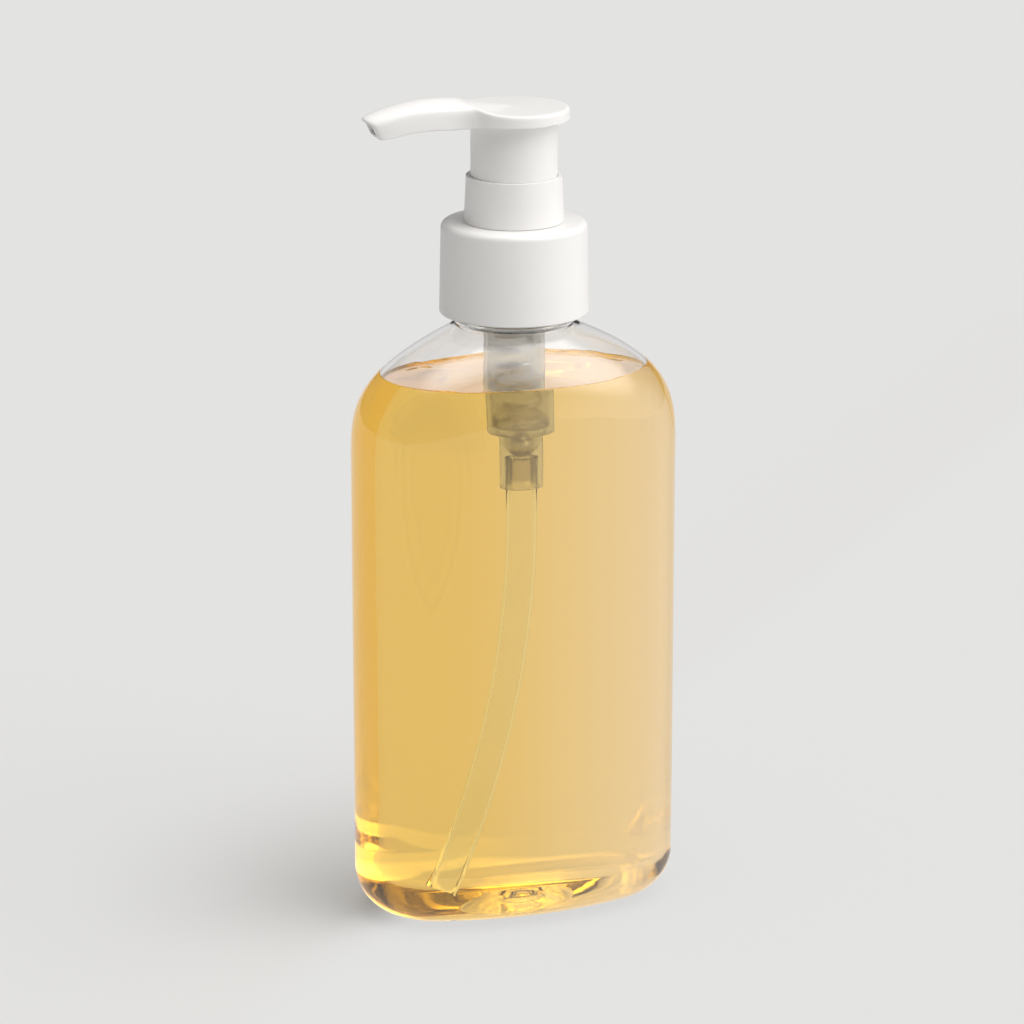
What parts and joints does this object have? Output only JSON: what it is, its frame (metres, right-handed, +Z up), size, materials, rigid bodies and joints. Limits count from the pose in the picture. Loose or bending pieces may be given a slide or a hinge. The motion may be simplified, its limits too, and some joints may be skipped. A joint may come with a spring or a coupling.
{
  "type": "hair serum bottle",
  "caption": "Flat oblong clear bottle of amber hair serum with a smooth white screw closure and a hand pump that has a long arched nozzle.",
  "frame": {"origin": "middle of the bottle's base on the plane that it stands on, below the neck's axis", "axes": "+Z up along the neck and the pump, X across the bottle's width with the nozzle pointing along -X, Y through its depth between the two broad faces"},
  "size_m": [0.0624, 0.0358, 0.1573],
  "materials": {
    "clear_pet": "clear, glossy",
    "serum_amber": "clear amber liquid",
    "white_closure": "smooth, satin gloss",
    "white_pump": "smooth, satin gloss",
    "milky_barrel": "milky translucent",
    "clear_tube": "clear, soft gloss",
    "soft_gasket": "soft foam",
    "soft_piston": "soft, matt",
    "spring_steel": "bright stainless wire"
  },
  "bodies": {
    "root": {"bottle": "clear_pet", "serum": "serum_amber"},
    "pump": {"housing": "milky_barrel", "collar": "white_pump", "gasket": "soft_gasket", "dip_tube": "clear_tube", "ball_retainer": "milky_barrel", "spring": "spring_steel"},
    "closure": {"closure": "white_closure"},
    "piston": {"piston": "soft_piston"},
    "head": {"head": "white_pump", "stem": "white_pump", "stem_plug": "white_pump"},
    "ball": {"ball": "spring_steel"}
  },
  "joints": [
    {"name": "pump_lift", "type": "slide", "parent": "root", "child": "pump", "axis": [0, 0, 1], "range_m": [0, 0.00476], "deforming": ["serum"]},
    {"name": "closure_turn", "type": "hinge", "parent": "pump", "child": "closure", "pos_m": [0, 0, 0.125], "axis": [0, 0, 1], "range_deg": [0, 540]},
    {"name": "head_press", "type": "slide", "parent": "pump", "child": "piston", "axis": [0, 0, -1], "range_m": [0, 0.0094], "stiffness_N_per_m": 600, "springref_m": -0.01, "deforming": ["spring"]},
    {"name": "head_turn", "type": "hinge", "parent": "piston", "child": "head", "pos_m": [0, 0, 0.15], "axis": [0, 0, 1], "continuous": true},
    {"name": "ball_lift", "type": "slide", "parent": "pump", "child": "ball", "axis": [0, 0, 1], "range_m": [0, 0.001]}
  ],
  "couplings": [
    {"joint": "pump_lift", "follows": "closure_turn", "m_per_rad": 0.00050531}
  ]
}
